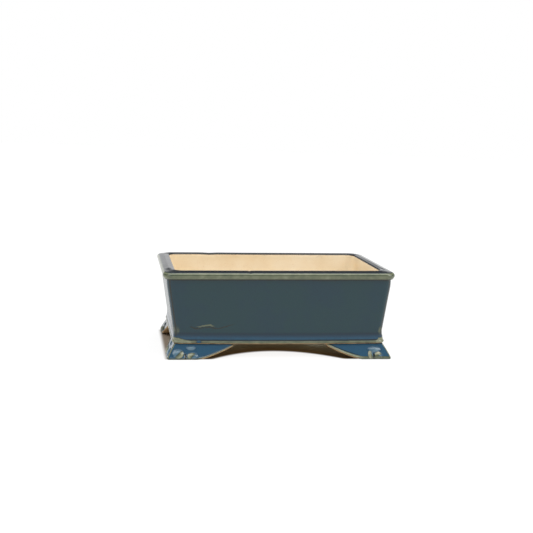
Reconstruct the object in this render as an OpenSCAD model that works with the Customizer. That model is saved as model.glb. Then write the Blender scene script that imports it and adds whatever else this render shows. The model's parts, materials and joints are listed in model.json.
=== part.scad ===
// Rectangular glazed stoneware bonsai pot, built up from clay slabs and strips, with drain screens.
// Millimetres. Z is up, the soles stand on z = 0 and the origin is at the middle of the footprint.
// X runs along the length and Y along the width. An "inset" is a distance in from the rim's sides.

/* [Overall] */
// Length over the rim
pot_l = 255; // [235:1:290]
// Width over the rim
pot_w = 156; // [145:1:180]
// Height from the soles to the top of the rim
pot_h = 98; // [88:1:112]

/* [Rim] */
// Height of the rim band
rim_h = 9; // [7:0.5:12]
// How far the rim stands out past the top of the wall
rim_out = 4; // [2:0.5:5]
// Plan radius of the rim's outer corners
rim_r = 11; // [8:1:15]
// Plan radius of the corners of the mouth
mouth_r = 10; // [7:1:13]
// Rounding of the rim's top edge
rim_edge_r = 2; // [1:0.5:3]

/* [Walls] */
// Thickness of the wall slabs
wall_t = 10; // [8:0.5:11]
// How far the outside leans in between the rim and the foot of the wall
wall_lean = 8.3; // [6:0.1:10]
// Plan radius of the outer corners
wall_r = 6; // [4:0.5:9]

/* [Base] */
// Height of the floor's underside above the ground
floor_z = 17; // [16:0.5:20]
// Thickness of the floor slab
floor_t = 8; // [7:0.5:10]
// Height of the upright strip at the foot of the wall
wall_foot_h = 5; // [3:0.5:8]
// How far the moulding's nose stands out past the foot of the wall
nose_out = 2.5; // [1.5:0.5:4]
// Radius of the moulding's rounded nose
nose_r = 2; // [1.5:0.1:2.5]
// Width of the moulding behind the foot of the wall
moulding_back = 1.7; // [1:0.1:2.5]

/* [Feet] */
// Length of a foot along the front
foot_l = 73; // [60:1:80]
// Length of a foot along the side
foot_w = 46; // [38:1:52]
// Length of the flat sole along the front
sole_l = 32; // [24:1:38]
// Length of the flat sole along the side
sole_w = 24; // [20:1:28]
// How far in from the rim the toe stands
toe_in = 3.5; // [2:0.5:5]
// How far in from the rim the inside of a foot lies
foot_back = 20; // [18:0.5:22]
// Height of the lower edge of a foot at its tip
foot_tip_h = 14.5; // [10:0.5:14.5]

/* [Drainage] */
// Diameter of a drain hole
drain_d = 24; // [24:0.5:28]
// Distance between the drain holes
drain_spacing = 110; // [90:1:130]
// Diameter of a hole for a tie wire
tie_hole_d = 5; // [3:0.5:6]
// Distance between the tie wire holes along the length
tie_spacing_x = 150; // [140:1:160]
// Distance between the tie wire holes along the width
tie_spacing_y = 80; // [60:1:80]
// Distance between the strands of a screen
strand_pitch = 3.4; // [3.4:0.1:3.6]
// Diameter of the clip wire
wire_d = 1.8; // [1.2:0.1:1.8]

/* [Hidden] */
$fn = 48;

glaze = "#41566a";
olive_glaze = "#7c7f64";
foot_glaze = "#3d6080";
bare_clay = "#e0c49b";
screen_black = "#2b2d2e";
wire_grey = "#b4b8bb";

// Heights
floor_top = floor_z + floor_t;
wall_foot_z = floor_top + wall_foot_h;
wall_top = pot_h - rim_h;

// Insets from the rim's sides
lip_w = rim_out + wall_t;
wall_foot_in = rim_out + wall_lean;
inner_foot_in = lip_w + wall_lean * (wall_top - floor_top) / (wall_top - wall_foot_z);
nose_in = wall_foot_in - nose_out;
slab_in = wall_foot_in + moulding_back;

nose_rise = 1.6;
cove_step = 0.6;
nose_z = floor_z + nose_r + nose_rise;
nose_corner_r = 6;
slab_r = nose_corner_r - (slab_in - nose_in);
rim_lower_edge_r = 1;
neck_in = nose_in + 1;

toe_edge_r = 2.2;
flare_power = 1.35;
outline_power = 1.6;
curve_steps = 10;

screen_t = 1.2;
strand_w = 0.9;
strand_count = 12;
screen_w = (strand_count - 1) * strand_pitch + strand_w;
wire_r = wire_d / 2;
wire_bend_r = 1.3;
leg_x = 3 * strand_pitch;
clip_tail = 9;
tail_gap = 0.1;
bar_z = floor_top + screen_t + wire_r;
tail_z = floor_z - tail_gap - wire_r;

// Points of an arc from angle a0 to a1
function arc(x, z, r, a0, a1, steps = 6) =
    [for (i = [0:steps]) let (a = a0 + (a1 - a0) * i / steps) [x + r * cos(a), z + r * sin(a)]];

// Mirrors the half outline [inset, z] into a full section of the given width
function section(half, width) = concat(
    [for (p = half) [p[0] - width / 2, p[1]]],
    [for (i = [len(half) - 1:-1:0]) [width / 2 - half[i][0], half[i][1]]]
);

// Outlines as [inset, z], from the bottom up
rim_outline = concat(
    arc(rim_lower_edge_r, wall_top + rim_lower_edge_r, rim_lower_edge_r, 270, 180),
    arc(rim_edge_r, pot_h - rim_edge_r, rim_edge_r, 180, 90)
);
moulding_outline = concat(
    [[slab_in, floor_z], [neck_in, floor_z]],
    arc(nose_in + nose_r, nose_z, nose_r, 240, 90),
    [[wall_foot_in, floor_top - cove_step], [wall_foot_in, floor_top], [slab_in, floor_top]]
);
foot_outline = concat(
    arc(toe_in + toe_edge_r, toe_edge_r, toe_edge_r, 270, 180),
    [for (i = [1:curve_steps])
        let (t = i / curve_steps)
        [toe_in + (neck_in - toe_in) * pow(t, flare_power), toe_edge_r + (floor_z - toe_edge_r) * t]]
);

// Rectangle of the pot's plan at an inset, with rounded corners
module plan(inset, r) {
    l = pot_l - 2 * inset;
    w = pot_w - 2 * inset;
    square([l - 2 * r, w], center = true);
    square([l, w - 2 * r], center = true);
    for (x = [-1, 1], y = [-1, 1])
        translate([x * (l / 2 - r), y * (w / 2 - r)]) circle(r);
}

// Thin slice of the plan, for hulls
module slice(inset, r, z) {
    translate([0, 0, z]) linear_extrude(0.01) plan(inset, r, $fn = 32);
}

// Solid block with a moulded edge, whose corners turn about points at corner_in from both sides
module moulded_block(outline, corner_in) {
    rotate([90, 0, 90])
        linear_extrude(pot_l - 2 * corner_in, center = true) polygon(section(outline, pot_w));
    rotate([90, 0, 0])
        linear_extrude(pot_w - 2 * corner_in, center = true) polygon(section(outline, pot_l));
    bottom = outline[0][1];
    top = outline[len(outline) - 1][1];
    for (x = [-1, 1], y = [-1, 1])
        translate([x * (pot_l / 2 - corner_in), y * (pot_w / 2 - corner_in), 0])
            rotate_extrude()
                polygon(concat([[0, bottom]], [for (p = outline) [corner_in - p[0], p[1]]], [[0, top]]));
}

// Prisms that part a ring at its four mitred corners
module mitre(side) {
    l = pot_l / 2;
    w = pot_w / 2;
    long_side = [[-l, -w], [l, -w], [l - w, 0], [w - l, 0]];
    short_side = [[-l, -w], [w - l, 0], [-l, w]];
    turned = side == "back" || side == "right";
    rotate([0, 0, turned ? 180 : 0])
        linear_extrude(pot_h + 1)
            polygon(side == "front" || side == "back" ? long_side : short_side);
}

module wall_ring() {
    difference() {
        union() {
            hull() {
                slice(wall_foot_in, wall_r, wall_foot_z);
                slice(rim_out, wall_r, wall_top - 0.01);
            }
            translate([0, 0, floor_top]) linear_extrude(wall_foot_h) plan(wall_foot_in, wall_r, $fn = 32);
        }
        hull() {
            slice(inner_foot_in, mouth_r, floor_top - 0.01);
            slice(lip_w, mouth_r, wall_top);
        }
    }
}

module rim_ring() {
    difference() {
        moulded_block(rim_outline, rim_r);
        translate([0, 0, wall_top - 1]) linear_extrude(rim_h + 2) plan(lip_w, mouth_r);
    }
}

module moulding_ring() {
    difference() {
        moulded_block(moulding_outline, nose_in + nose_corner_r);
        translate([0, 0, floor_z - 1]) linear_extrude(floor_t + 2) plan(slab_in, slab_r);
    }
}

module wall(side) {
    color(glaze) intersection() {
        wall_ring();
        mitre(side);
    }
}

module rim(side) {
    color(olive_glaze) intersection() {
        rim_ring();
        mitre(side);
    }
}

module moulding(side) {
    color(olive_glaze) intersection() {
        moulding_ring();
        mitre(side);
    }
}

module floor_slab() {
    color(bare_clay) difference() {
        translate([0, 0, floor_z]) linear_extrude(floor_t) plan(slab_in, slab_r);
        for (x = [-1, 1])
            translate([x * drain_spacing / 2, 0, floor_z - 1]) cylinder(d = drain_d, h = floor_t + 2);
        for (x = [-1, 1], y = [-1, 1])
            translate([x * tie_spacing_x / 2, y * tie_spacing_y / 2, floor_z - 1])
                cylinder(d = tie_hole_d, h = floor_t + 2);
    }
}

// What is cut away below the rising edge of a foot, and beyond its tip
module foot_clearance(sole, tip) {
    beyond = tip + 10;
    polygon(concat(
        [[sole, -1]],
        [for (i = [0:curve_steps])
            let (t = i / curve_steps)
            [sole + (tip - sole) * t, foot_tip_h * pow(t, outline_power)]],
        [[tip, floor_z + 1], [beyond, floor_z + 1], [beyond, -1]]
    ));
}

// Foot under the corner of the rim's box that lies at the origin
module corner_foot() {
    l = toe_in + foot_l;
    w = toe_in + foot_w;
    difference() {
        intersection() {
            rotate([90, 0, 90]) linear_extrude(l) polygon(concat(foot_outline, [[w, floor_z], [w, 0]]));
            translate([0, w, 0]) rotate([90, 0, 0])
                linear_extrude(w) polygon(concat(foot_outline, [[l, floor_z], [l, 0]]));
        }
        translate([foot_back, foot_back, -1]) cube([l, w, floor_z + 2]);
        translate([0, w + 1, 0]) rotate([90, 0, 0])
            linear_extrude(w + 2) foot_clearance(toe_in + sole_l, l);
        translate([-1, 0, 0]) rotate([90, 0, 90])
            linear_extrude(l + 2) foot_clearance(toe_in + sole_w, w);
    }
}

// x and y are 0 for the left and the front, 1 for the right and the back
module foot(x, y) {
    color(foot_glaze) mirror([x, 0, 0]) mirror([0, y, 0])
        translate([-pot_l / 2, -pot_w / 2, 0]) corner_foot();
}

module drain_screen(x) {
    first = -(strand_count - 1) * strand_pitch / 2;
    color(screen_black) translate([x * drain_spacing / 2, 0, floor_top]) linear_extrude(screen_t)
        for (i = [0:strand_count - 1]) {
            translate([first + i * strand_pitch, 0]) square([strand_w, screen_w], center = true);
            translate([0, first + i * strand_pitch]) square([screen_w, strand_w], center = true);
        }
}

// Quarter bend of wire in the XZ plane, about its own centre, from +X round to +Z
module wire_bend() {
    rotate([90, 0, 0]) rotate_extrude(angle = 90) translate([wire_bend_r, 0]) circle(wire_r, $fn = 24);
}

// Half of a clip, from the middle of its bar to the end of the tail that is bent under the floor
module half_clip() {
    translate([0, 0, bar_z]) rotate([0, 90, 0]) cylinder(r = wire_r, h = leg_x - wire_bend_r, $fn = 24);
    translate([leg_x - wire_bend_r, 0, bar_z - wire_bend_r]) wire_bend();
    translate([leg_x, 0, tail_z + wire_bend_r])
        cylinder(r = wire_r, h = bar_z - tail_z - 2 * wire_bend_r, $fn = 24);
    translate([leg_x + wire_bend_r, 0, tail_z + wire_bend_r]) rotate([0, 180, 0]) wire_bend();
    translate([leg_x + wire_bend_r, 0, tail_z]) rotate([0, 90, 0])
        cylinder(r = wire_r, h = clip_tail, $fn = 24);
}

module screen_clip(x) {
    color(wire_grey) translate([x * drain_spacing / 2, 0, 0]) {
        half_clip();
        mirror([1, 0, 0]) half_clip();
    }
}

floor_slab();
wall("front");  // front_wall
wall("back");  // back_wall
wall("left");  // left_wall
wall("right");  // right_wall
rim("front");  // front_rim
rim("back");  // back_rim
rim("left");  // left_rim
rim("right");  // right_rim
moulding("front");  // front_moulding
moulding("back");  // back_moulding
moulding("left");  // left_moulding
moulding("right");  // right_moulding
foot(0, 0);  // front_left_foot
foot(1, 0);  // front_right_foot
foot(0, 1);  // back_left_foot
foot(1, 1);  // back_right_foot
drain_screen(-1);  // left_drain_screen
drain_screen(1);  // right_drain_screen
screen_clip(-1);  // left_screen_clip
screen_clip(1);  // right_screen_clip
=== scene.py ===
import json
import math
import bpy
import numpy as np
from mathutils import Matrix, Vector, noise


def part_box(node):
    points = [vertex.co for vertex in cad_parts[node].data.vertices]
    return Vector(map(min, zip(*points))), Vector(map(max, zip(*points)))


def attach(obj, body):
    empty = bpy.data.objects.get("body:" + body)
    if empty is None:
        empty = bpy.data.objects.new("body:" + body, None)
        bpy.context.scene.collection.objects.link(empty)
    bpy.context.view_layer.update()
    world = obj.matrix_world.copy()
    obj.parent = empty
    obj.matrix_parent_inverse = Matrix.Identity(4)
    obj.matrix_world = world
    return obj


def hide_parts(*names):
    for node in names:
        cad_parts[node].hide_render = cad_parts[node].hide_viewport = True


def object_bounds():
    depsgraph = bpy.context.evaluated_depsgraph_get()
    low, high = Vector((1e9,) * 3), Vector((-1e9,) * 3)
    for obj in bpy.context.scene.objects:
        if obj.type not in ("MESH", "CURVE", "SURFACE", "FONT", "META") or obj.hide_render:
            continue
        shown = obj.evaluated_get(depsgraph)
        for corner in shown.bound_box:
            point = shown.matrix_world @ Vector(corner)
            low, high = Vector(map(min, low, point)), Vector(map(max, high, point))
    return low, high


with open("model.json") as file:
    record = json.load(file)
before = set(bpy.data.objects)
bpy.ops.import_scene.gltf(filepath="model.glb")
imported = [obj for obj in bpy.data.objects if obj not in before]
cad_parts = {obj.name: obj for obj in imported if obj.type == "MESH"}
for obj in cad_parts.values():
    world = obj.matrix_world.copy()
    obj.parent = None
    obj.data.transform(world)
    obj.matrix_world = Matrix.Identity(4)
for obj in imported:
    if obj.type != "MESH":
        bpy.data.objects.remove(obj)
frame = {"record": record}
cad_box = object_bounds()

# ---------------------------------------------------------------- sizes, from the frame
MM = 0.001
HALF_L, HALF_W, HEIGHT = cad_box[1].x, cad_box[1].y, cad_box[1].z
RIM_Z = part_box("front_rim")[0].z
FLOOR_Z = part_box("floor_slab")[0].z
FLOOR_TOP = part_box("floor_slab")[1].z
SLAB_IN = HALF_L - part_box("floor_slab")[1].x
NOSE_IN = HALF_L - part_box("right_moulding")[1].x
WALL_IN = HALF_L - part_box("right_wall")[1].x
TOE_IN = HALF_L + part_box("front_left_foot")[0].x
FOOT_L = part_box("front_left_foot")[1].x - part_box("front_left_foot")[0].x
FOOT_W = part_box("front_left_foot")[1].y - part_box("front_left_foot")[0].y
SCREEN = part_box("right_drain_screen")
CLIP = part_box("right_screen_clip")
DRAIN_X = (SCREEN[0].x + SCREEN[1].x) / 2
TIE = frame["record"]["mounts"][-1]["dims"]

SKIN = 0.25 * MM            # room kept for the hand-made waviness inside the CAD box
LIP_W = 14 * MM
RIM_R, MOUTH_R, WALL_R = 11 * MM, 10 * MM, 8.5 * MM         # radii of the corners in plan
RIM_EDGE_R = 3.6 * MM       # the soft top edge that carries the long highlight
RIM_CREST_IN, RIM_INNER_R = 7.6 * MM, 1.7 * MM
COVE_IN, COVE_Z = 11.9 * MM, FLOOR_TOP + 4.2 * MM
COVE_END_IN, COVE_END_Z = 10.9 * MM, FLOOR_Z + 3.8 * MM
INNER_FOOT_IN = 22.9 * MM   # where the wall's inner face meets the floor
NOSE_Z, NOSE_R = FLOOR_Z + 1.9 * MM, 1.8 * MM
NOSE_CORNER_R = 7 * MM
SLAB_R = 1.7 * MM
# The pot stands a little out of square: its base is set over to the right of its rim, its left end
# is lower than its right, its floor sags, and its rim and toes stop a little short of the CAD model's.
LEAN, LEAN_Z = 0.03, 72 * MM            # shift to the right per height lost below LEAN_Z
LOW_LEFT = 0.03             # the share of its height that the left end is lower by
SAG = 1.0 * MM              # how far the floor sags midway between the ends
SAG_FADE = 25 * MM          # height over the floor in which the walls take up the sag
RIM_TRIM = 0.6 * MM, 1.4 * MM           # at the left and at the right
TOE_TRIM = 1.0 * MM


# ---------------------------------------------------------------- small helpers
def smooth(low, high, x):
    """0 below low, 1 above high; low may be the larger."""
    t = np.clip((np.asarray(x, float) - low) / (high - low), 0, 1)
    return t * t * (3 - 2 * t)


def bell(x, middle, width):
    return np.exp(-((np.asarray(x, float) - middle) / width) ** 2)


def waviness(points, size, seed):
    """Smooth noise from -1 to 1 at each point; size is the length of a wave in metres."""
    flat = points.reshape(-1, 3) / size + np.array([seed * 7.31, seed * 3.17, seed * 5.77])
    return np.array([noise.noise(Vector(p)) for p in flat]).reshape(points.shape[:-1])


def arc(x, z, r, a0, a1, steps):
    """Points of an arc round x, z from a0 to a1 degrees."""
    return [(x + r * math.cos(math.radians(a0 + (a1 - a0) * i / steps)),
             z + r * math.sin(math.radians(a0 + (a1 - a0) * i / steps))) for i in range(steps + 1)]


def line(a, b, step):
    """Points from a towards b, without b."""
    n = max(1, round(math.dist(a, b) / step))
    return [(a[0] + (b[0] - a[0]) * i / n, a[1] + (b[1] - a[1]) * i / n) for i in range(n)]


def unit(v):
    return v / np.maximum(np.linalg.norm(v, axis=-1, keepdims=True), 1e-12)


def keep_inside(P):
    """Holds a grid inside the CAD model's box."""
    limit = np.array([HALF_L, HALF_W])
    P[..., :2] = np.clip(P[..., :2], -limit, limit)
    P[..., 2] = np.clip(P[..., 2], 0, HEIGHT)
    return P


def set_out_of_square(mesh):
    """Moves a piece's points as the whole pot is out of square."""
    flat = np.empty(len(mesh.vertices) * 3, np.float32)
    mesh.vertices.foreach_get("co", flat)
    P = flat.reshape(-1, 3)
    sag = SAG * (1 - (P[:, 0] / HALF_L) ** 2)
    sag *= smooth(FLOOR_TOP + SAG_FADE, FLOOR_TOP, P[:, 2]) * smooth(0.3 * FLOOR_Z, FLOOR_Z, P[:, 2])
    P[:, 2] -= sag
    P[:, 2] *= 1 - LOW_LEFT * (1 - P[:, 0] / HALF_L) / 2
    P[:, 0] += LEAN * (LEAN_Z - P[:, 2])
    mesh.vertices.foreach_set("co", flat)
    mesh.update()


def new_piece(name, mesh, node, material):
    """Adds a mesh to the scene as the detailed form of a CAD node."""
    set_out_of_square(mesh)
    piece = bpy.data.objects.new(name, mesh)
    bpy.context.collection.objects.link(piece)
    mesh.materials.clear()
    mesh.materials.append(material)
    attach(piece, "root")
    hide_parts(node)


# ---------------------------------------------------------------- swept meshes
def grid_normals(P, ring):
    """Normals of a grid [station, profile, xyz] with a closed profile; ring says if stations close too."""
    if ring:
        along = np.roll(P, -1, 0) - np.roll(P, 1, 0)
    else:
        along = np.gradient(P, axis=0)
    across = np.roll(P, -1, 1) - np.roll(P, 1, 1)
    return unit(np.cross(along, across))


def swept_mesh(name, P, N, masks):
    """A closed mesh from a grid of stations and closed profiles, capped at both ends.

    N holds its normals, and masks the values at its points that the glaze reads."""
    stations, points = P.shape[:2]
    index = np.arange(stations * points).reshape(stations, points)
    a, b = index[:-1], index[1:]
    quads = np.stack([a, b, np.roll(b, -1, 1), np.roll(a, -1, 1)], -1).reshape(-1, 4)
    faces = quads.tolist() + [index[0].tolist(), index[-1][::-1].tolist()]
    mesh = bpy.data.meshes.new(name)
    mesh.from_pydata(P.reshape(-1, 3).tolist(), [], faces)
    ends = [unit((P[0] - P[1]).mean(0)), unit((P[-1] - P[-2]).mean(0))]
    loops = np.concatenate([N.reshape(-1, 3)[quads.ravel()], np.repeat(ends, points, 0)])
    mesh.polygons.foreach_set("use_smooth", [True] * len(mesh.polygons))
    mesh.normals_split_custom_set(loops.tolist())
    for key, values in masks.items():
        values = np.broadcast_to(values, (stations, points)).astype(np.float32)
        mesh.attributes.new(key, "FLOAT", "POINT").data.foreach_set("value", values.ravel())
    return mesh


# ---------------------------------------------------------------- the four-sided rings
SIDES = {"front": -90, "right": 0, "back": 90, "left": 180}


def ring_stations(step, arc_steps):
    """Rows (corner side x, corner side y, direction) from mitre to mitre round the pot.

    Also gives each side's first row."""
    rows, starts = [], {}
    for side, facing in SIDES.items():
        starts[side] = len(rows)
        ends = [np.sign([math.cos(math.radians(facing + d)), math.sin(math.radians(facing + d))])
                for d in (-45, 45)]
        length = 2 * (HALF_L if side in ("front", "back") else HALF_W)
        n = round(length / step)
        rows += [(*ends[0], facing - 45 + 45 * i / arc_steps) for i in range(arc_steps)]
        rows += [(*(ends[0] + (ends[1] - ends[0]) * i / n), facing) for i in range(n + 1)]
        rows += [(*ends[1], facing + 45 * i / arc_steps) for i in range(1, arc_steps)]
    return np.array(rows), starts


ROWS, STARTS = ring_stations(1.4 * MM, 10)
TURN = (ROWS[:, 2] + 360) % 90
CORNER = np.clip(1 - np.abs(TURN - 45) / 45, 0, 1)[:, None]     # 1 at a mitre, 0 at its arc's ends
ON_LONG_SIDE = np.abs(np.sin(np.radians(ROWS[:, 2:]))) > 0.7    # rows that face the front or back
# Where the rim is uneven: the place along the pot, how far the dip goes down and half its width.
BACK_DIP = -64 * MM, 0.45 * MM, 6 * MM
FRONT_NICK = -34.5 * MM, 0.4 * MM, 1.2 * MM


def ring_grid(profile):
    """Grid of points for profile rows (inset, height, plan radius), uneven like hand-pressed clay."""
    inset, z, r = profile.T
    angle = np.radians(ROWS[:, 2])[:, None]
    left, right = RIM_TRIM
    trim = (left + (right - left) * (ROWS[:, :1] + 1) / 2) * smooth(RIM_Z - 10 * MM, RIM_Z + 5 * MM, z)
    x = ROWS[:, 0][:, None] * (HALF_L - trim - inset - r) + r * np.cos(angle)
    y = ROWS[:, 1][:, None] * (HALF_W - inset - r) + r * np.sin(angle)
    P = np.stack([x, y, np.broadcast_to(z, x.shape)], -1)
    push = 0.26 * MM * (waviness(P, 95 * MM, 1) + 0.3 * waviness(P, 22 * MM, 2))
    P[..., 0] += push * np.cos(angle)
    P[..., 1] += push * np.sin(angle)
    plan = P * np.array([1, 1, 0])
    rise = 0.3 * MM * waviness(plan, 100 * MM, 3) + 0.02 * MM * waviness(plan, 14 * MM, 4)
    for (place, depth, width), on_side in ((BACK_DIP, P[..., 1] > 0), (FRONT_NICK, P[..., 1] < 0)):
        rise -= depth * bell(P[..., 0], place, width) * on_side
    P[..., 2] += rise * smooth(RIM_Z + 1 * MM, HEIGHT - 1 * MM, z)
    return keep_inside(P)


def to_side(P):
    """How far in from the CAD box's end or side each point is, measured along the side it belongs to."""
    return np.where(ON_LONG_SIDE, HALF_L - np.abs(P[..., 0]), HALF_W - np.abs(P[..., 1]))


def ring_pieces(kind, P, seams, masks, material):
    """Cuts a ring into its four mitred pieces.

    Each seam is (point, its neighbour, the next one): the shading there runs straight on from the
    neighbours, so that it meets the next ring's without a line."""
    N = grid_normals(P, True)
    for at, near, far in seams:
        N[:, at] = unit(1.5 * N[:, near] - 0.5 * N[:, far])
    order = list(SIDES)
    for i, side in enumerate(order):
        last = STARTS[order[i + 1]] if i < 3 else len(ROWS)
        pick = np.arange(STARTS[side], last + 1) % len(ROWS)
        node = f"{side}_{kind}"
        cut = {key: np.broadcast_to(values, P.shape[:2])[pick] for key, values in masks.items()}
        mesh = swept_mesh(node, P[pick], N[pick], cut)
        new_piece(node + "_ceramic", mesh, node, material)


def rim_profile():
    """Rows (inset, height, plan radius) once round the rim's section.

    Its face slants in towards the wall, its outer edge is a soft arc, and its top rises to a crest."""
    lower_r, slant = 1.0 * MM, 35
    edge_drop, crest_drop, mouth_drop = 1.2 * MM, 0.25 * MM, 0.6 * MM
    edge = (RIM_EDGE_R + SKIN, HEIGHT - edge_drop - RIM_EDGE_R)
    face = arc(*edge, RIM_EDGE_R, 180 + slant, 98, 16)
    drop = face[0][1] - (RIM_Z + lower_r * 0.8)
    low = (face[0][0] + drop * math.tan(math.radians(slant)) * 0.8, face[0][1] - drop)
    bottom = arc(low[0] + lower_r, RIM_Z + lower_r, lower_r, 270, 190, 5)
    crest, inner = (RIM_CREST_IN, HEIGHT - crest_drop), (LIP_W - RIM_INNER_R, HEIGHT - mouth_drop)
    points = line((LIP_W, RIM_Z), bottom[0], 2 * MM) + bottom + line(low, face[0], 0.5 * MM)[1:] + face
    points += line(face[-1], crest, 0.7 * MM)[1:] + line(crest, inner, 0.7 * MM)
    points += arc(inner[0], inner[1] - RIM_INNER_R, RIM_INNER_R, 90, 0, 10)
    points += line((LIP_W, inner[1] - RIM_INNER_R - 0.8 * MM), (LIP_W, RIM_Z), 1 * MM)
    points = np.array(points)
    t = np.clip(points[:, 0] / LIP_W, 0, 1)
    return np.column_stack([points, RIM_R + (MOUTH_R - RIM_R) * t])


def tip_front(P, profile):
    """Tips the top of the front rim outwards: its crest lies at the mouth and not in the middle."""
    inset, z = profile[:, 0], profile[:, 1]
    inner_in, edge_in, drop, lift = LIP_W - RIM_INNER_R, RIM_EDGE_R, 1.0 * MM, 0.3 * MM
    tip_starts_y, tip_whole_y = -45 * MM, -62 * MM
    straight = HEIGHT - lift - drop * (inner_in - inset) / (inner_in - edge_in)
    on_top = (inset > edge_in) & (inset < inner_in + 0.1 * MM) & (z > HEIGHT - 2 * MM)
    tip = np.where(on_top, straight - z, 0)
    tip = np.where(inset > inner_in, lift * smooth(HEIGHT - 3 * MM, HEIGHT - 1 * MM, z), tip)
    P[..., 2] += tip * smooth(tip_starts_y, tip_whole_y, P[..., 1])
    return keep_inside(P)


def cove_inset(z):
    """Inset of the hollow between the wall and the moulding at height z."""
    t = np.clip((COVE_Z - z) / (COVE_Z - COVE_END_Z), 0, 1)
    return COVE_IN + (COVE_END_IN - COVE_IN) * t ** 2


def wall_profile():
    """Rows (inset, height, plan radius) once round the wall's section, cove and foot included."""
    top_in = WALL_IN + SKIN
    outer = line((top_in, RIM_Z), (COVE_IN, COVE_Z), 1.2 * MM)
    cove = [(float(cove_inset(z)), z) for z in np.linspace(COVE_Z, FLOOR_TOP, 8)]
    base = line(cove[-1], (INNER_FOOT_IN, FLOOR_TOP), 2.5 * MM)[1:]
    inner = [(LIP_W + (INNER_FOOT_IN - LIP_W) * t ** 1.5, RIM_Z - (RIM_Z - FLOOR_TOP) * t)
             for t in np.linspace(1, 0, 33)[:-1]]
    top = line((LIP_W, RIM_Z), (top_in, RIM_Z), 2.5 * MM)
    points = np.array(outer + cove + base + inner + top)[::-1]
    t = smooth(0, LIP_W - top_in, points[:, 0] - lean(points[:, 1]))
    outer_r = np.where(points[:, 1] > COVE_Z, WALL_R, NOSE_CORNER_R + 0.5 * MM)
    return np.column_stack([points, outer_r + (MOUTH_R - outer_r) * t])


def lean(z):
    """Inset of the wall's outer face at height z."""
    return WALL_IN + (RIM_Z - z) / (RIM_Z - COVE_Z) * (COVE_IN - WALL_IN)


def moulding_profile():
    """Rows (inset, height, plan radius) once round the moulding: cove, groove, round nose and back."""
    cove = [(float(cove_inset(z)), z) for z in np.linspace(FLOOR_TOP, COVE_END_Z, 7)]
    nose_in = NOSE_IN + NOSE_R + SKIN
    groove = [(COVE_END_IN + 0.35 * MM, COVE_END_Z - 0.3 * MM)]
    nose = arc(nose_in, NOSE_Z, NOSE_R, 128, 242, 14)
    under = [(NOSE_IN + 1.35 * MM, FLOOR_Z + 0.15 * MM), (NOSE_IN + 1.6 * MM, FLOOR_Z)]
    back = line((NOSE_IN + 1.9 * MM, FLOOR_Z), (SLAB_IN, FLOOR_Z), 1 * MM)
    back += line((SLAB_IN, FLOOR_Z), (SLAB_IN, FLOOR_TOP), 2 * MM)
    back += line((SLAB_IN, FLOOR_TOP), cove[0], 1 * MM)
    points = np.array(cove + groove + nose + under + back)[::-1]
    plan_r = np.maximum(NOSE_CORNER_R + 0.5 * MM - (points[:, 0] - NOSE_IN) * 0.5, SLAB_R)
    return np.column_stack([points, plan_r])


def cove_pool_and_light(z):
    """How far down into the cove a height is: the glaze pools there, and its run from dark above to pale
    below is painted shade and light.
    """
    return np.clip((COVE_Z + 1.5 * MM - z) / (COVE_Z + 0.5 * MM - COVE_END_Z), 0, 1)


# The masks that the glaze reads go from 0 to 1: thin is glaze that breaks to olive, dark is a line where it
# gathers and also painted shade under the rim, along the soles and over the back left foot, pool is where
# it runs together and also painted light low in the cove, the lobe mask is a painted highlight on a lobe,
# and bare is clay.
EDGE_CLAY = 0.72            # value of the bare mask for the browner clay of edges


def make_rim(glaze):
    """Rim: thin olive glaze outside, painted shade in the angle under it, bare clay on the mouth's wall."""
    profile = rim_profile()
    inset, z = profile[:, 0], profile[:, 1]
    P = tip_front(ring_grid(profile), profile)
    outside = smooth(3.2 * MM, 1.4 * MM, inset)
    inside = smooth(LIP_W - 0.8 * MM, LIP_W - 0.1 * MM, inset)
    # Along the outer edge the glaze is thin olive, a little paler near the edge's top; the darker band
    # under it is painted dark reflection.
    edge = 0.6 + 0.06 * bell(z, HEIGHT - 2.3 * MM, 0.7 * MM) - 0.2 * bell(z, HEIGHT - 3.6 * MM, 0.6 * MM)
    last = len(profile) - 1
    ring_pieces("rim", P, [(0, last, last - 1)], {
        "thin": np.maximum(outside * edge, 0.35 * inside),
        # The dark along the rim's lower edge is painted shade under the rim.
        "dark": np.maximum(0.9 * smooth(RIM_Z + 1.5 * MM, RIM_Z + 0.7 * MM, z),
                           0.7 * inside * bell(z, HEIGHT - 1.4 * MM, 0.5 * MM)),
        "pool_and_light": smooth(3 * MM, 5.5 * MM, inset),
        "bare": inside * smooth(HEIGHT - 1.4 * MM, HEIGHT - 2.0 * MM, z),
    }, glaze)


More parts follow.
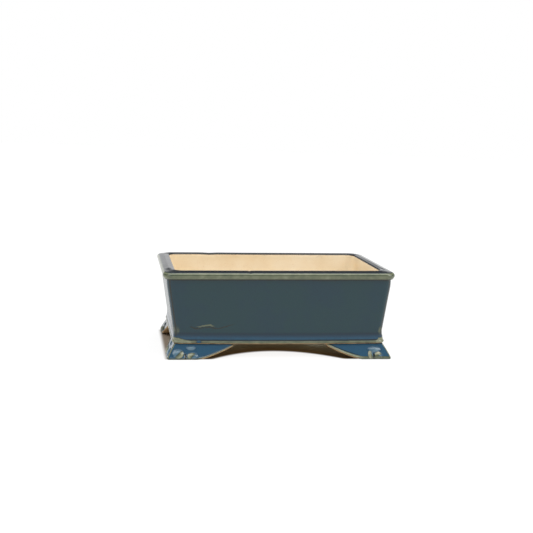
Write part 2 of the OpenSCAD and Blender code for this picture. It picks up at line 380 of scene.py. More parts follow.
def make_wall(glaze):
    """Walls: a faint olive band and a dark line at each upright corner, painted shade under the rim, blue
    in the cove with painted light low in it, bare inside.
    """
    profile = wall_profile()
    inset, z = profile[:, 0], profile[:, 1]
    P = ring_grid(profile)
    foot_of_corner = bell(z, COVE_Z + 2 * MM, 4 * MM) * smooth(0.1, 0.5, CORNER)
    past_arc = np.where(CORNER > 0, 0, np.maximum(to_side(P) - lean(z) - WALL_R, 0))
    band = np.where(ON_LONG_SIDE, smooth(2.0 * MM, 0, past_arc), smooth(0.2, 0.6, CORNER))
    mitre_line = np.where(ON_LONG_SIDE, 0.95 * bell(CORNER, 0.92, 0.16), 0.75 * smooth(0.72, 1.0, CORNER))
    inner_top = int(np.argmin(np.hypot(inset - LIP_W, z - RIM_Z)))
    outer_low = int(np.argmin(np.hypot(inset - cove_inset(FLOOR_TOP), z - FLOOR_TOP)))
    outer_top = int(np.argmin(np.hypot(inset - WALL_IN - SKIN, z - RIM_Z)))
    seams = [(inner_top, inner_top + 1, inner_top + 2), (outer_low, outer_low + 1, outer_low + 2),
             (outer_top, outer_top - 1, outer_top - 2)]
    ring_pieces("wall", P, seams, {
        "thin": band * 0.17 + 0.24 * foot_of_corner,
        # The dark at the wall's top is painted shade under the rim; a dark line also runs down each upright
        # corner.
        "dark": np.maximum(mitre_line, 0.7 * smooth(RIM_Z - 2.0 * MM, RIM_Z - 0.7 * MM, z)),
        "pool_and_light": cove_pool_and_light(z),
        "bare": inset > lean(z) + 3 * MM,
    }, glaze)


# On the moulding: how far the pale corner blob reaches along the front left and elsewhere, and how
# high it climbs; then the middle and half width of the drip of blue across the nose.
LONG_REACH, SHORT_REACH, BLOB_RISE = 17 * MM, 5 * MM, 3.4 * MM
DRIP_X, DRIP_W = -89 * MM, 2.8 * MM


def make_moulding(glaze):
    """Moulding: blue in the cove, with painted light low in it, thin olive along the nose and at the
    corners, bare under the nose.
    """
    profile = moulding_profile()
    inset, z = profile[:, 0], profile[:, 1]
    P = ring_grid(profile)
    x, y = P[..., 0], P[..., 1]
    from_end = np.where(CORNER > 0, 0, np.maximum(to_side(P) - NOSE_IN - NOSE_CORNER_R, 0))
    reach = np.where((x < 0) & (y < 0) & ON_LONG_SIDE, LONG_REACH, SHORT_REACH)
    wedge = np.clip(1 - from_end / reach, 0, 1)
    blob_top = NOSE_Z + 1.2 * MM + BLOB_RISE * wedge ** 1.5
    blob = smooth(blob_top + 0.8 * MM, blob_top - 0.8 * MM, z) * smooth(0, 0.3, wedge)
    drip = bell(x, DRIP_X, DRIP_W) * (y < 0)
    nose = np.maximum(bell(z, NOSE_Z + 0.6 * MM, 1.0 * MM), 0.72 * smooth(NOSE_Z + 0.6 * MM, NOSE_Z, z))
    face = inset < SLAB_IN - 0.3 * MM
    last = len(profile) - 1
    ring_pieces("moulding", P, [(last, last - 1, last - 2)], {
        "thin": np.maximum(0.64 * nose, 0.74 * blob) * (1 - drip) * face,
        "dark": 0.75 * bell(z, COVE_END_Z + 0.5 * MM, 0.8 * MM) * (1 - blob) * face,
        "pool_and_light": np.maximum(cove_pool_and_light(z) * smooth(COVE_END_Z, COVE_END_Z + 1.4 * MM, z), drip) * (1 - blob),
        "bare": EDGE_CLAY * smooth(FLOOR_Z + 1.3 * MM, FLOOR_Z + 0.5 * MM, z),
    }, glaze)


# ---------------------------------------------------------------- corner feet
FOOT_BACK = 20 * MM         # inset of the feet's inner faces
SOLE_L, SOLE_W = 32 * MM, 24 * MM       # length of the flat soles along the long and the short arm
TIP_H = FLOOR_Z - 2.5 * MM
NECK_IN = NOSE_IN + 2.6 * MM
SOFT = 0.14 * MM            # how softly a lobe rises out of the face
# Lobes of the cloud on each foot: distance from the toe, height, half width, half height and depth of
# carving in mm, then the side on which the glaze is thin (0 away from the toe, 90 up) and the share of
# the lobe that is.
CLOUD_LOW = ((12.6, 6.2, 6.4, 4.8, 1.8, -40, 0.4), (27.8, 4.0, 6.0, 3.4, 1.5, 150, 0.5),
             (26.6, 11.9, 5.0, 2.1, 1.1, 0, 0))
CLOUD_TALL = ((15.6, 4.6, 4.4, 3.8, 1.6, 70, 0.5), (24.0, 5.2, 3.2, 4.8, 1.7, 0, 0.6),
              (19.6, 10.2, 7.4, 3.2, 1.4, 0, 0))


def flare(z, a):
    """Inset of the foot's face at height z: a soft curve at the toe, straight further along."""
    t = np.clip((z - 2.2 * MM) / (FLOOR_Z - 2.2 * MM), 0, 1)
    toe = TOE_IN + TOE_TRIM
    return toe + (NECK_IN - toe) * t ** (1.1 - 0.1 * smooth(0, 8 * MM, a))


def lower_edge(a, sole, tip):
    """Height of the foot's lower edge at a from the toe, with a blunt round tip."""
    t = np.clip((a - sole) / (tip - sole), 0, 1)
    rise = TIP_H * t ** 1.5
    blunt = np.clip((a - (tip - 2.5 * MM)) / (2.5 * MM), 0, 1)
    return rise + (FLOOR_Z - 0.25 * MM - rise) * (1 - np.sqrt(1 - blunt ** 2 * 0.999))


def cloud(a, d, lobes):
    """The carved cloud at each point: its depth, how far out on a lobe, the thin glaze and the notch.

    a is the distance from the toe, and d the height over the foot's lower edge."""
    far_off = 9.0
    notch_depth, notch_w, notch_top, notch_whole = 0.8 * MM, 1.1 * MM, 7.5 * MM, 5.5 * MM
    height, rim, thin = np.zeros_like(a), np.full_like(a, far_off), np.zeros_like(a)
    for ca, cd, ra, rd, depth, side, share in lobes:
        u, v = (a / MM - ca) / ra, (d / MM - cd) / rd
        reach = np.hypot(u, v)
        dome = SOFT * np.logaddexp(0, depth * MM * (1 - reach ** 2) / SOFT)
        towards = u * math.cos(math.radians(side)) + v * math.sin(math.radians(side))
        rim = np.where(dome > height, reach, rim)
        thin = np.where(dome > height, smooth(0.4 - 2 * share, 1.5 - 2 * share, towards), thin)
        height = np.maximum(height, dome)
    (ca, _, ra, *_), (cb, _, rb, *_) = lobes[:2]
    gap = (ca + ra + cb - rb) / 2 * MM
    notch = bell(a, gap, notch_w) * smooth(notch_top, notch_whole, d)
    return height - notch_depth * notch, rim, thin, notch


def foot_grid(sx, sy):
    """Grid of a foot from the tip of its long arm, round the toe, to the tip of its short arm.

    Also gives each point's distance from the toe, height over the lower edge and distance past the
    sole, and which points are on the face and on the rounding under it."""
    parts = (("face", 1, 0, 60), ("round", 0.2, 1, 6), ("sole", 0.15, 0.95, 8), ("inner", 0, 1, 8),
             ("top", 0.1, 0.9, 6))
    kinds = [(kind, v) for kind, first, last, count in parts for v in np.linspace(first, last, count)]

    def section(a, sole, tip):
        """Grids of inset, height and the lower edge's height for distances a from the toe along an arm."""
        low = lower_edge(a, sole, tip)
        r = np.minimum(1.2 * MM, (FLOOR_Z - low) * 0.4)
        inset, z = np.zeros_like(a), np.zeros_like(a)
        for k, (kind, v) in enumerate(kinds):
            lo, rr = low[:, k], r[:, k]
            edge = flare(lo + rr, a[:, k])
            if kind == "face":
                z[:, k] = lo + rr + v * (FLOOR_Z - lo - rr)
                inset[:, k] = flare(z[:, k], a[:, k])
            elif kind == "round":
                turn = math.radians(90 * v)
                z[:, k] = lo + rr * (1 - math.sin(turn))
                inset[:, k] = edge + rr * (1 - math.cos(turn))
            elif kind == "sole":
                z[:, k] = lo
                inset[:, k] = edge + rr + (FOOT_BACK - edge - rr) * v
            elif kind == "inner":
                z[:, k] = lo + 0.3 * MM + (FLOOR_Z - lo - 0.3 * MM) * v
                inset[:, k] = FOOT_BACK
            else:
                z[:, k] = FLOOR_Z
                inset[:, k] = FOOT_BACK + (NECK_IN - FOOT_BACK) * v
        return inset, z, low

    # The two arms meet in an upright rounded edge at the toe.
    toe_inset, toe_z, _ = section(np.zeros((1, len(kinds))), SOLE_L, FOOT_L)
    radius = 1.4 * MM + 1.1 * MM * smooth(10 * MM, FOOT_BACK, toe_inset[0])
    arms = []
    for sole, tip, count in ((SOLE_L, FOOT_L, 230), (SOLE_W, FOOT_W, 145)):
        start = toe_inset[0] + radius - TOE_IN
        a = start + (tip - start) * np.linspace(0, 1, count)[:, None]
        inset, z, low = section(a, sole, tip)
        arms.append((a, inset, z, low))
    turn = np.radians(np.linspace(0, 90, 9))[1:-1, None]
    centre = toe_inset + radius
    corner = np.stack([HALF_L - centre + radius * np.sin(turn), HALF_W - centre + radius * np.cos(turn),
                       np.broadcast_to(toe_z, (len(turn), len(kinds)))], -1)
    (a0, in0, z0, low0), (a1, in1, z1, low1) = arms
    P = np.concatenate([np.stack([HALF_L - TOE_IN - a0, HALF_W - in0, z0], -1)[::-1], corner,
                        np.stack([HALF_L - in1, HALF_W - TOE_IN - a1, z1], -1)])
    a = np.concatenate([a0[::-1], np.zeros(corner.shape[:2]), a1])
    d = np.concatenate([(z0 - low0)[::-1], corner[..., 2], z1 - low1])
    past_sole = np.concatenate([(a0 - SOLE_L)[::-1], np.zeros(corner.shape[:2]) - SOLE_L, a1 - SOLE_W])
    names = np.array([kind for kind, v in kinds])
    return P * np.array([sx, sy, 1]), a, d, past_sole, names == "face", names == "round"


# Each foot: its name, the signs of its x and y, its cloud, how far in mm past the first one the olive band
# along its lower edge reaches up, and how much painted shade darkens its glaze.
FEET = (("front_left", -1, -1, CLOUD_LOW, 0.7, 0), ("front_right", 1, -1, CLOUD_TALL, 2.2, 0),
        ("back_right", 1, 1, CLOUD_LOW, 1.2, 0), ("back_left", -1, 1, CLOUD_TALL, 1.5, 0.6))


def make_feet(glaze):
    """Feet: pale crests and painted highlights on the clouds' lobes, olive along the edges, dark in the
    hollows, and painted shade along the soles and over the back left foot.
    """
    for n, (name, sx, sy, lobes, olive, foot_shade_share) in enumerate(FEET):
        P, a, d, past_sole, is_face, is_round = foot_grid(sx, sy)
        if sx * sy < 0:         # the grid of a mirrored foot runs the other way, so that its faces look out
            P, a, d, past_sole = P[::-1], a[::-1], d[::-1], past_sole[::-1]
        lift, rim, crest, notch = cloud(a, d, lobes)
        on_lobe = smooth(1.02, 0.98, rim)
        bead = 0.35 * MM * bell(d, 1.6 * MM, 0.8 * MM) * smooth(1 * MM, 5 * MM, a) * (1 - on_lobe)
        lift = (lift + bead) * is_face * smooth(FLOOR_Z - 0.1 * MM, FLOOR_Z - 1.4 * MM, P[..., 2])
        N = grid_normals(P, False)
        P = keep_inside(P + N * (lift + 0.12 * MM * waviness(P, 9 * MM, 20 + n))[..., None])
        N = grid_normals(P, False)
        sloped = smooth(0, 9 * MM, past_sole)
        ridge = bell(a, 0, 0.8 * MM) * smooth(0.3 * MM, 2 * MM, d)
        band = smooth((1.6 + olive) * MM, (1.0 + olive) * MM, d)
        crest = crest * smooth(1.0, 0.85, rim) * (1 - notch)
        # Painted highlight: pale blue over each lobe, except on its crest and in the notch.
        painted_lobe_highlight = smooth(1.0, 0.6, rim) * (1 - crest) * (1 - notch)
        valley = 0.5 * bell(rim, 1.12, 0.1) * smooth(1 * MM, 3 * MM, d)
        thin = np.maximum.reduce([0.62 * ridge, (0.45 + 0.3 * sloped) * band, 0.85 * crest])
        outline = 0.8 * sloped * bell(d, (1.95 + olive) * MM, 0.5 * MM)
        top_line = 0.6 * smooth(FLOOR_Z - 1.3 * MM, FLOOR_Z - 0.4 * MM, P[..., 2])
        # Painted contact shade along the flat soles, just over where they stand on the floor.
        painted_sole_shade = 0.7 * smooth(1.1 * MM, 0.5 * MM, d) * (1 - sloped)
        # Painted shade darkens the whole of the back left foot.
        painted_foot_shade = np.full_like(a, foot_shade_share)
        dark = np.maximum.reduce([outline, top_line, painted_sole_shade, 0.95 * notch, valley, painted_foot_shade])
        tan = EDGE_CLAY * smooth(1.5 * MM, 1.1 * MM, d) * sloped
        glazed = is_face | is_round
        mesh = swept_mesh(name, P, N, {
            "thin": thin * glazed,
            "dark": dark * glazed,
            "pool_and_light": is_face,
            "painted_lobe_highlight": painted_lobe_highlight * is_face,
            "bare": np.where(glazed, tan, EDGE_CLAY),
        })
        new_piece(f"{name}_foot_ceramic", mesh, f"{name}_foot", glaze)


# ---------------------------------------------------------------- floor slab, screens and clips
DRAIN_R = 12 * MM


def circle(x, y, r, steps):
    return [(x + r * math.cos(2 * math.pi * i / steps), y + r * math.sin(2 * math.pi * i / steps))
            for i in range(steps)]


def make_floor(material):
    """Floor slab with its two drain holes and four tie-wire holes."""
    round_over = 0.4 * MM
    curve = bpy.data.curves.new("floor_outline", "CURVE")
    curve.dimensions, curve.fill_mode = "2D", "BOTH"
    curve.extrude = (FLOOR_TOP - FLOOR_Z) / 2 - round_over
    curve.bevel_depth, curve.bevel_resolution = round_over, 3
    curve.offset = -round_over
    hx, hy = HALF_L - SLAB_IN - SLAB_R, HALF_W - SLAB_IN - SLAB_R
    corners = ((1, 1, 0), (-1, 1, 90), (-1, -1, 180), (1, -1, 270))
    outlines = [[point for sx, sy, start in corners
                 for point in arc(sx * hx, sy * hy, SLAB_R, start, start + 90, 6)]]
    for sx in (-1, 1):
        outlines.append(circle(sx * DRAIN_X, 0, DRAIN_R, 64))
        outlines += [circle(sx * TIE["spacing_x_mm"] * MM / 2, sy * TIE["spacing_y_mm"] * MM / 2,
                            TIE["hole_r_mm"] * MM, 32) for sy in (-1, 1)]
    for points in outlines:
        spline = curve.splines.new("POLY")
        spline.points.add(len(points) - 1)
        for p, (x, y) in zip(spline.points, points):
            p.co = (x, y, 0, 1)
        spline.use_cyclic_u = True
    source = bpy.data.objects.new("floor_source", curve)
    mesh = bpy.data.meshes.new_from_object(source)
    bpy.data.objects.remove(source)
    bpy.data.curves.remove(curve)
    mesh.transform(Matrix.Translation((0, 0, (FLOOR_TOP + FLOOR_Z) / 2)))
    new_piece("floor_slab_ceramic", mesh, "floor_slab", material)


def make_screen(side, material):
    """Drain screen: one moulded net of crossing strands."""
    strands, pitch, width = 12, 3.4 * MM, 0.9 * MM
    thick = SCREEN[1].z - SCREEN[0].z
    lines = sorted((i - (strands - 1) / 2) * pitch + s * width / 2
                   for i in range(strands) for s in (-1, 1))
    n = len(lines)
    x0 = DRAIN_X if side == "right" else -DRAIN_X
    verts = [(x0 + x, y, SCREEN[0].z + thick / 2) for y in lines for x in lines]
    faces = [(j * n + i, j * n + i + 1, (j + 1) * n + i + 1, (j + 1) * n + i)
             for j in range(n - 1) for i in range(n - 1) if i % 2 == 0 or j % 2 == 0]
    mesh = bpy.data.meshes.new("net")
    mesh.from_pydata(verts, [], faces)
    net = bpy.data.objects.new("net", mesh)
    bpy.context.collection.objects.link(net)
    solid = net.modifiers.new("solid", "SOLIDIFY")
    solid.thickness, solid.offset = thick - 0.1 * MM, 0
    bevel = net.modifiers.new("bevel", "BEVEL")
    bevel.width, bevel.segments = 0.18 * MM, 2
    done = bpy.data.meshes.new_from_object(net.evaluated_get(bpy.context.evaluated_depsgraph_get()))
    bpy.data.objects.remove(net)
    done.polygons.foreach_set("use_smooth", [True] * len(done.polygons))
    new_piece(f"{side}_drain_screen_net", done, f"{side}_drain_screen", material)


def make_clip(side, material):
    """Clip wire: tail, leg up through the drain hole, bar over the net, leg down, tail; bent by hand."""
    x0 = DRAIN_X if side == "right" else -DRAIN_X
    wire_r, bend, sides = 0.85 * MM, 1.6 * MM, 12
    gap, leg, bow, end_r = 0.1 * MM, 10.2 * MM, 0.35 * MM, 0.6 * MM
    top, low = CLIP[1].z - wire_r - gap, CLIP[0].z + wire_r + gap
    half = (CLIP[1].x - CLIP[0].x) / 2 - gap
    corners = [(-half, low), (-leg, low), (-leg, top), (leg, top), (leg, low), (half, low)]
    path = [corners[0]]
    for before, at, after in zip(corners, corners[1:], corners[2:]):
        u, v = unit(np.subtract(before, at)), unit(np.subtract(after, at))
        for i in range(9):
            t = i / 8
            path.append(tuple(np.array(at) + u * bend * (1 - t) ** 2 + v * bend * t ** 2))
    path.append(corners[-1])
    path = np.array(path)
    gaps = np.linalg.norm(np.diff(path, axis=0), axis=1)
    dist = np.concatenate([[0], np.cumsum(gaps)])
    s = np.linspace(0, dist[-1], 160)
    x, z = np.interp(s, dist, path[:, 0]), np.interp(s, dist, path[:, 1])
    y = bow * np.sin(s / dist[-1] * 9 + x0 * 30)
    centre = np.stack([x, y, z], -1)
    along = unit(np.gradient(centre, axis=0))
    side_way = np.broadcast_to([0.0, 1.0, 0.0], along.shape)
    side_way = unit(side_way - along * (side_way * along).sum(-1, keepdims=True))
    other = np.cross(along, side_way)
    turn = np.linspace(0, 2 * math.pi, sides, endpoint=False)[None, :, None]
    from_end = np.clip(np.minimum(s, dist[-1] - s) / end_r, 0, 1)
    r = wire_r * np.sqrt(np.clip(1 - (1 - from_end) ** 2, 0.12, 1))[:, None, None]
    N = np.cos(turn) * other[:, None] + np.sin(turn) * side_way[:, None]
    P = centre[:, None] + r * N + np.array([x0, 0, 0])
    mesh = swept_mesh("wire", P[:, ::-1], N[:, ::-1], {})
    new_piece(f"{side}_screen_clip_wire", mesh, f"{side}_screen_clip", material)


# ---------------------------------------------------------------- materials
def srgb(r, g, b):
    """Linear colour from sRGB values of 0 to 255."""
    def linear(c):
        c /= 255
        return c / 12.92 if c <= 0.04045 else ((c + 0.055) / 1.055) ** 2.4
    return (linear(r), linear(g), linear(b), 1)


# The pale blue is a painted highlight on the feet's lobes.
PAINTED_HIGHLIGHT_BLUE, SPECK = srgb(100, 127, 141), srgb(16, 26, 34)
# The near-black that the dark mask mixes in is glaze gathered in lines, and also painted shade.
GATHERED_GLAZE_AND_SHADE, SCORCHED = srgb(26, 30, 20), srgb(84, 58, 34)
TAN, GRAIN = srgb(212, 184, 148), srgb(206, 172, 130)
CREAMS = (0.3, srgb(240, 221, 187)), (0.5, srgb(247, 232, 203)), (0.7, srgb(250, 238, 213))
BROWNS = (0.3, srgb(120, 92, 58)), (0.55, srgb(168, 136, 92)), (0.75, srgb(196, 168, 122))
# The glaze as it gets thinner, from the slate of a whole coat to the tan of the clay showing through.
OLIVES = ((0.0, srgb(30, 46, 48)), (0.3, srgb(58, 70, 60)), (0.6, srgb(102, 108, 84)),
          (0.85, srgb(142, 144, 120)), (1.0, srgb(168, 160, 128)))
# The four colours of each glaze: even, drifted, deep in a pool and pooled; in the cove of the walls and
# moulding the dark deep colour above and the pale pooled one below are also painted shade and light.
SLATE = srgb(10, 48, 60), srgb(12, 51, 57), srgb(0, 34, 50), srgb(30, 72, 97)
NAVY = srgb(14, 34, 44), srgb(18, 38, 42), srgb(12, 26, 36), srgb(12, 24, 34)
BLUE = srgb(40, 76, 92), srgb(42, 78, 94), srgb(40, 76, 98), srgb(46, 81, 105)


class Nodes:
    """Short calls for building a material."""

    def __init__(self, name):
        self.material = bpy.data.materials.new(name)
        self.material.use_nodes = True
        self.tree = self.material.node_tree
        self.shader = self.tree.nodes["Principled BSDF"]
        self.coords = self.tree.nodes.new("ShaderNodeTexCoord").outputs["Object"]

    def link(self, value, socket):
        if isinstance(value, bpy.types.NodeSocket):
            self.tree.links.new(value, socket)
        else:
            socket.default_value = value

    def attribute(self, name):
        node = self.tree.nodes.new("ShaderNodeAttribute")
        node.attribute_name = name
        return node.outputs["Fac"]

    def axes(self):
        node = self.tree.nodes.new("ShaderNodeSeparateXYZ")
        self.link(self.coords, node.inputs[0])
        return node.outputs

    def noise(self, size, detail=3, roughness=0.5, stretch=(1, 1, 1)):
        """Noise from 0 to 1 whose blobs are about size metres."""
        mapping = self.tree.nodes.new("ShaderNodeMapping")
        mapping.inputs["Scale"].default_value = stretch
        self.link(self.coords, mapping.inputs["Vector"])
        node = self.tree.nodes.new("ShaderNodeTexNoise")
        node.inputs["Scale"].default_value = 1 / size
        node.inputs["Detail"].default_value = detail
        node.inputs["Roughness"].default_value = roughness
        self.link(mapping.outputs["Vector"], node.inputs["Vector"])
        return node.outputs["Fac"]

    def math(self, operation, a, b=0.0, c=0.0):
        node = self.tree.nodes.new("ShaderNodeMath")
        node.operation = operation
        for value, socket in zip((a, b, c), node.inputs):
            self.link(value, socket)
        return node.outputs[0]

    def step(self, value, low, high):
        """0 to 1 as value goes from low to high; low may be the larger."""
        node = self.tree.nodes.new("ShaderNodeMapRange")
        node.interpolation_type = "SMOOTHSTEP"
        self.link(value, node.inputs["Value"])
        ends = (low, high, 0, 1) if low < high else (high, low, 1, 0)
        for key, end in zip(("From Min", "From Max", "To Min", "To Max"), ends):
            node.inputs[key].default_value = end
        return node.outputs["Result"]

    def mix(self, factor, a, b):
        node = self.tree.nodes.new("ShaderNodeMix")
        node.data_type = "RGBA"
        for value, key in ((factor, 0), (a, 6), (b, 7)):
            self.link(value, node.inputs[key])
        return node.outputs[2]

    def ramp(self, factor, stops):
        node = self.tree.nodes.new("ShaderNodeValToRGB")
        while len(node.color_ramp.elements) < len(stops):
            node.color_ramp.elements.new(0.5)
        for element, (place, colour) in zip(node.color_ramp.elements, stops):
            element.position, element.color = place, colour
        self.link(factor, node.inputs["Fac"])
        return node.outputs["Color"]

    def bump(self, height, distance):
        node = self.tree.nodes.new("ShaderNodeBump")
        node.inputs["Distance"].default_value = distance
        self.link(height, node.inputs["Height"])
        self.link(node.outputs["Normal"], self.shader.inputs["Normal"])


def clay_colour(n):
    """Cream clay with a few tan grains, darker towards the floor."""
    fine = n.noise(0.9 * MM, 3)
    broad = n.noise(28 * MM, 3)
    colour = n.ramp(broad, CREAMS)
    low = n.step(n.math("ADD", n.axes()[2], n.math("MULTIPLY", broad, 30 * MM)), 62 * MM, 28 * MM)
    colour = n.mix(n.math("MULTIPLY", low, 0.8), colour, TAN)
    return n.mix(n.step(fine, 0.64, 0.76), colour, GRAIN)


def toasted(n, bare):
    """Clay where it is wholly bare, and the browner clay of edges that fire and glaze have touched."""
    edge = n.ramp(n.noise(6 * MM, 3), BROWNS)
    return n.mix(n.step(bare, 0.8, 0.95), edge, clay_colour(n))


def flow_mark(n):
    """Masks of a pale wavy run of glaze low on the left of the front wall, and of the line under it."""
    x, y, z = n.axes()
    middle, wave_length = COVE_Z + 6.6 * MM, 21 * MM
    phase = n.math("MULTIPLY_ADD", x, 2 * math.pi / wave_length, 0.4)
    wave = n.math("MULTIPLY", n.math("SINE", phase), 1.0 * MM)
    wander = n.math("MULTIPLY", n.math("SUBTRACT", n.noise(9 * MM, 2), 0.5), 5 * MM)
    height = n.math("SUBTRACT", n.math("SUBTRACT", z, middle), n.math("ADD", wave, wander))
    front = n.step(y, -55 * MM, -60 * MM)
    pale_reach = n.math("MULTIPLY", n.step(x, -96 * MM, -84 * MM), n.step(x, -66 * MM, -76 * MM))
    dark_reach = n.math("MULTIPLY", n.step(x, -102 * MM, -94 * MM), n.step(x, -30 * MM, -62 * MM))
    climb = n.math("MULTIPLY", n.math("MAXIMUM", n.math("SUBTRACT", x, -58 * MM), 0), 0.65)
    pale = n.step(n.math("ABSOLUTE", height), 1.5 * MM, 0.2 * MM)
    over_line = n.math("SUBTRACT", n.math("ADD", height, 2.0 * MM), climb)
    dark = n.step(n.math("ABSOLUTE", over_line), 1.5 * MM, 0.3 * MM)
    return (n.math("MULTIPLY", n.math("MULTIPLY", pale, pale_reach), front),
            n.math("MULTIPLY", n.math("MULTIPLY", dark, dark_reach), front))


def glaze_material(name, even, drifted, deep, pooled, ripple, roughness, marked=False):
    """Glaze that drifts between two colours, turns blue in pools, and breaks to olive where it is thin; it
    also carries painted shade, painted light in the cove and painted highlights on the feet's lobes.
    """
    n = Nodes(name)
    broad, medium, fine = n.noise(45 * MM, 3), n.noise(9 * MM, 4), n.noise(1.4 * MM, 3)
    drift = n.math("ADD", n.math("MULTIPLY", broad, 0.7), n.math("MULTIPLY", medium, 0.3))
    wobble = n.math("MULTIPLY", n.math("SUBTRACT", medium, 0.5), 0.45)
    body = n.mix(n.step(drift, 0.38, 0.62), even, drifted)
    pool_and_light = n.attribute("pool_and_light")
    # In the cove the dark deep colour above and the pale pooled colour below are painted shade and light as
    # well as pooled glaze.
    body = n.mix(n.step(pool_and_light, 0.0, 0.35), body, deep)
    pool_and_light_share = n.math("MULTIPLY", n.step(pool_and_light, 0.25, 1.0), n.math("MULTIPLY_ADD", medium, 0.5, 0.7))
    body = n.mix(pool_and_light_share, body, pooled)
    # Painted highlight in pale blue on the feet's lobes.
    painted_lobe_highlight = n.math("MULTIPLY", n.attribute("painted_lobe_highlight"), n.math("MULTIPLY_ADD", medium, 1.0, 0.3))
    body = n.mix(painted_lobe_highlight, body, PAINTED_HIGHLIGHT_BLUE)
    body = n.mix(n.math("MULTIPLY", n.step(fine, 0.58, 0.7), 0.22), body, SPECK)
    thin = n.attribute("thin")
    thin_here = n.math("MULTIPLY", n.math("ADD", thin, wobble), n.step(thin, 0.02, 0.3))
    dark = n.attribute("dark")
    if marked:
        pale_run, dark_run = flow_mark(n)
        thin_here = n.math("MAXIMUM", thin_here, n.math("MULTIPLY", pale_run, 0.55))
        dark = n.math("MAXIMUM", dark, n.math("MULTIPLY", dark_run, 0.7))
    body = n.mix(n.step(thin_here, 0.1, 0.4), body, n.ramp(thin_here, OLIVES))
    # The dark mask: glaze gathered in lines, and painted shade.
    body = n.mix(n.step(n.math("ADD", dark, wobble), 0.25, 0.85), body, GATHERED_GLAZE_AND_SHADE)
    bare = n.math("ADD", n.attribute("bare"), n.math("MULTIPLY", wobble, 0.6))
    bare_mask = n.step(bare, 0.45, 0.6)
    body = n.mix(n.step(bare, 0.2, 0.45), body, SCORCHED)
    n.link(n.mix(bare_mask, body, toasted(n, n.attribute("bare"))), n.shader.inputs["Base Color"])
    n.link(n.math("MULTIPLY_ADD", bare_mask, 0.6, n.math("MULTIPLY_ADD", medium, 0.06, roughness)),
           n.shader.inputs["Roughness"])
    grit = n.math("MULTIPLY", n.math("MULTIPLY", n.noise(0.7 * MM, 4, 0.7), bare_mask), 0.25)
    uneven = n.math("MULTIPLY_ADD", medium, ripple, n.math("MULTIPLY", fine, ripple * 0.08))
    n.bump(n.math("ADD", uneven, grit), 0.4 * MM)
    return n.material


def clay_material():
    n = Nodes("bare_clay")
    n.link(clay_colour(n), n.shader.inputs["Base Color"])
    n.link(n.math("MULTIPLY_ADD", n.noise(4 * MM), 0.2, 0.7), n.shader.inputs["Roughness"])
    n.bump(n.noise(0.7 * MM, 4, 0.7), 0.15 * MM)
    return n.material


def plastic_material():
    n = Nodes("screen_plastic")
    colour = n.ramp(n.noise(3 * MM), [(0.3, srgb(28, 30, 30)), (0.7, srgb(40, 42, 41))])
    n.link(colour, n.shader.inputs["Base Color"])
    n.link(n.math("MULTIPLY_ADD", n.noise(1 * MM), 0.2, 0.35), n.shader.inputs["Roughness"])
    n.bump(n.noise(0.5 * MM), 0.05 * MM)
    return n.material


def wire_material():
    n = Nodes("clip_wire")
    drawn = n.noise(2 * MM, 4, 0.5, (1, 1, 6))
    colour = n.ramp(drawn, [(0.3, srgb(176, 176, 172)), (0.7, srgb(200, 200, 196))])
    n.link(colour, n.shader.inputs["Base Color"])
    n.shader.inputs["Metallic"].default_value = 1.0
    n.link(n.math("MULTIPLY_ADD", n.noise(0.8 * MM), 0.2, 0.28), n.shader.inputs["Roughness"])
    n.bump(n.noise(0.6 * MM), 0.04 * MM)
    return n.material


# ---------------------------------------------------------------- stage, light and camera
def make_stage():
    """Plain pale floor, which glows a little so that it stays white, with shade painted on it in browns
    under the pot.
    """
    n = Nodes("pale_floor")
    x, y, _ = n.axes()
    pale = n.mix(n.noise(0.5), srgb(108, 108, 108), srgb(112, 112, 112))
    away = n.math("ABSOLUTE", x)
    # The painted shade has a straight edge at each end, and an arch between the feet at the front and back.
    half_span, middle, rise = 73 * MM, 36 * MM, 35 * MM
    arch = n.math("MULTIPLY_ADD", n.math("POWER", n.math("DIVIDE", x, half_span), 2), rise, middle)
    past_arch = n.math("SUBTRACT", n.math("ABSOLUTE", y), arch)
    under = n.math("MULTIPLY", n.step(away, 125 * MM, 119 * MM), n.step(past_arch, 4 * MM, -4 * MM))
    within_feet = n.step(n.math("ABSOLUTE", y), HALF_W - 5 * MM, HALF_W - 10 * MM)
    under = n.math("MULTIPLY", under, within_feet)
    painted_under_shade = n.mix(n.step(past_arch, -6 * MM, -36 * MM), srgb(118, 101, 74), srgb(166, 162, 142))
    painted_under_shade = n.mix(n.step(away, 84 * MM, 122 * MM), painted_under_shade, srgb(150, 138, 124))
    colour = n.mix(under, pale, painted_under_shade)
    n.link(colour, n.shader.inputs["Base Color"])
    n.link(n.mix(under, srgb(255, 255, 255), srgb(0, 0, 0)), n.shader.inputs["Emission Color"])
    n.shader.inputs["Emission Strength"].default_value = 0.87
    n.shader.inputs["Roughness"].default_value = 0.9
    n.shader.inputs["Specular IOR Level"].default_value = 0.0
    size = 8.0
    mesh = bpy.data.meshes.new("studio_floor")
    corners = [(sx * size, sy * size, 0) for sx, sy in ((-1, -1), (1, -1), (1, 1), (-1, 1))]
    mesh.from_pydata(corners, [], [(0, 1, 2, 3)])
    mesh.materials.append(n.material)
    floor = bpy.data.objects.new("studio_floor", mesh)
    bpy.context.collection.objects.link(floor)


def soft_light(name, azimuth, elevation, distance, size, power):
    """A rectangular lamp aimed at the pot, in degrees round it and up from the floor."""
    data = bpy.data.lights.new(name, "AREA")
    data.shape, data.size, data.size_y = "RECTANGLE", *size
    data.energy = power
    light = bpy.data.objects.new(name, data)
    a, e = math.radians(azimuth), math.radians(elevation)
    away = Vector((math.cos(a) * math.cos(e), math.sin(a) * math.cos(e), math.sin(e)))
    light.location = away * distance + Vector((0, 0, HEIGHT / 2))
    light.rotation_mode = "QUATERNION"
    light.rotation_quaternion = away.to_track_quat("Z", "Y")
    bpy.context.collection.objects.link(light)


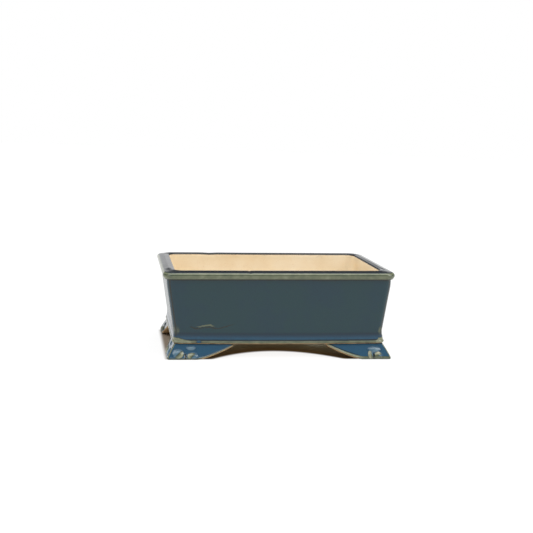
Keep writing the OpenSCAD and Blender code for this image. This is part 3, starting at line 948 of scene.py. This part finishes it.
def make_light():
    """White round the horizon, dim above it, and a broad bright ceiling."""
    ceiling = 2.8
    world = bpy.data.worlds.new("studio")
    bpy.context.scene.world = world
    world.use_nodes = True
    tree = world.node_tree
    coords = tree.nodes.new("ShaderNodeTexCoord")
    split = tree.nodes.new("ShaderNodeSeparateXYZ")
    tree.links.new(coords.outputs["Generated"], split.inputs["Vector"])
    ramp = tree.nodes.new("ShaderNodeValToRGB")
    stops = ((8.5, 1.0), (14, 0.12), (52, 0.2), (60, ceiling))
    while len(ramp.color_ramp.elements) < len(stops):
        ramp.color_ramp.elements.new(0.5)
    for element, (elevation, level) in zip(ramp.color_ramp.elements, stops):
        element.position = math.sin(math.radians(elevation))
        element.color = (level / ceiling, level / ceiling, level / ceiling, 1)
    tree.links.new(split.outputs["Z"], ramp.inputs["Fac"])
    tree.links.new(ramp.outputs["Color"], tree.nodes["Background"].inputs["Color"])
    tree.nodes["Background"].inputs["Strength"].default_value = ceiling
    soft_light("left_fill", -150, 38, 1.8, (1.0, 0.8), 7)
    soft_light("right_key", -30, 38, 1.8, (1.0, 0.8), 12)


def make_camera():
    """The camera, in front of the pot's left half; yaw, pitch and roll are in degrees."""
    data = bpy.data.cameras.new("camera")
    camera = bpy.data.objects.new("camera", data)
    bpy.context.collection.objects.link(camera)
    bpy.context.scene.camera = camera
    data.sensor_width, data.lens = 36, 61.05
    yaw, pitch, roll = (math.radians(v) for v in (9.70, 8.74, 2.30))
    camera.location = (-0.1780, -1.0074, 0.2475)
    level = Vector((math.sin(yaw), math.cos(yaw), 0))
    ahead = level * math.cos(pitch) - Vector((0, 0, math.sin(pitch)))
    right = Vector((math.cos(yaw), -math.sin(yaw), 0))
    up = right.cross(ahead)
    turned_right = right * math.cos(roll) + up * math.sin(roll)
    turned_up = up * math.cos(roll) - right * math.sin(roll)
    camera.rotation_mode = "QUATERNION"
    camera.rotation_quaternion = Matrix((turned_right, turned_up, -ahead)).transposed().to_quaternion()


wall_glaze = glaze_material("wall_glaze", *SLATE, ripple=0.15, roughness=0.2, marked=True)
rim_glaze = glaze_material("rim_glaze", *NAVY, ripple=0.06, roughness=0.1)
moulding_glaze = glaze_material("moulding_glaze", *SLATE, ripple=0.15, roughness=0.14)
foot_glaze = glaze_material("foot_glaze", *BLUE, ripple=0.25, roughness=0.07)
bare_clay = clay_material()
plastic, wire = plastic_material(), wire_material()

make_camera()
make_rim(rim_glaze)
make_wall(wall_glaze)
make_moulding(moulding_glaze)
make_feet(foot_glaze)
make_floor(bare_clay)
for side in ("left", "right"):
    make_screen(side, plastic)
    make_clip(side, wire)
make_stage()
make_light()
bpy.context.scene.view_settings.view_transform = "Standard"
